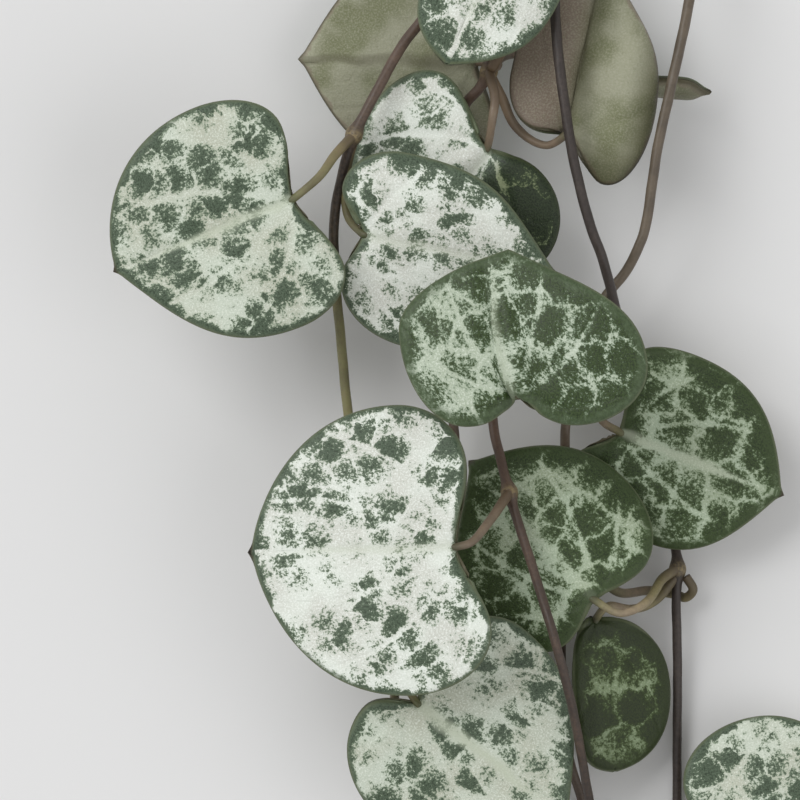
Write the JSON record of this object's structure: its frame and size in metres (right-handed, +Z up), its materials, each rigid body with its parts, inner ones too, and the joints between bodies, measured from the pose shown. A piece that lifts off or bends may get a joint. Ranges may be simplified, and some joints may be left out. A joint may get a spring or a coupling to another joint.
{
  "type": "string of hearts",
  "caption": "Bunch of trailing string of hearts strands with silver-mottled heart-shaped leaves on thin dark stems, cut and laid flat",
  "frame": {"origin": "centre of the bounding box in plan, at the height of the surface it rests on", "axes": "+Y along the strands towards their cut end, +X across them, +Z up from the surface, towards the viewer in the picture"},
  "size_m": [0.0658, 0.0952, 0.0221],
  "materials": {
    "silver_leaf": "silvery speckled leaf, soft satin",
    "green_leaf": "dark green leaf with pale veins, soft satin",
    "leaf_underside": "pale sage underside, matt",
    "dark_stem": "dark brown stem, satin",
    "brown_stem": "brown stem, satin",
    "woody_stem": "woody older stem, matt"
  },
  "bodies": {
    "root": {"leaf_left": "silver_leaf", "leaf_lower": "silver_leaf", "leaf_front": "green_leaf", "leaf_middle": "silver_leaf", "leaf_upper": "silver_leaf", "leaf_top": "silver_leaf", "leaf_back": "leaf_underside", "leaf_folded": "leaf_underside", "leaf_sliver": "leaf_underside", "leaf_right": "green_leaf", "leaf_inner": "green_leaf", "leaf_oval": "green_leaf", "leaf_bottom": "silver_leaf", "leaf_hidden": "green_leaf", "leaf_corner": "silver_leaf", "strand_left": "dark_stem", "strand_right": "dark_stem", "strand_outer": "brown_stem", "strand_centre": "dark_stem", "strand_short": "dark_stem", "leader_stem": "woody_stem"}
  },
  "joints": []
}
